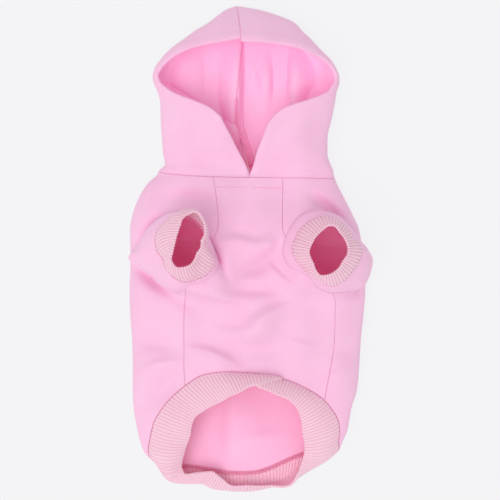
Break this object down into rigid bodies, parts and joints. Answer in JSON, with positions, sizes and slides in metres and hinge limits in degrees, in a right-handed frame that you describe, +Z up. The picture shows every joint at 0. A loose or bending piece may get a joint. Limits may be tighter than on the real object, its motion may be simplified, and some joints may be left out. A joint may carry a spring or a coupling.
{
  "type": "dog hoodie",
  "caption": "Small dog's fleece hoodie laid on its back, with a seamed hood, two ribbed leg sleeves and an arched ribbed waistband.",
  "frame": {"origin": "bottom centre of the box round the hoodie, on the surface it lies on", "axes": "+Z up from the surface, through the chest panel; +Y along the body towards the peak of the hood; +X to the right seen from above with the hood up"},
  "size_m": [0.1939, 0.388, 0.0833],
  "materials": {
    "fleece": "soft brushed cotton fleece",
    "rib_knit": "ribbed cotton knit"
  },
  "bodies": {
    "root": {"hood_left": "fleece", "hood_right": "fleece", "hood_seam_strip": "fleece", "chest_panel": "fleece", "back_panel": "fleece", "sleeve_left": "fleece", "sleeve_right": "fleece", "cuff_left": "rib_knit", "cuff_right": "rib_knit", "waistband": "rib_knit"}
  },
  "joints": []
}
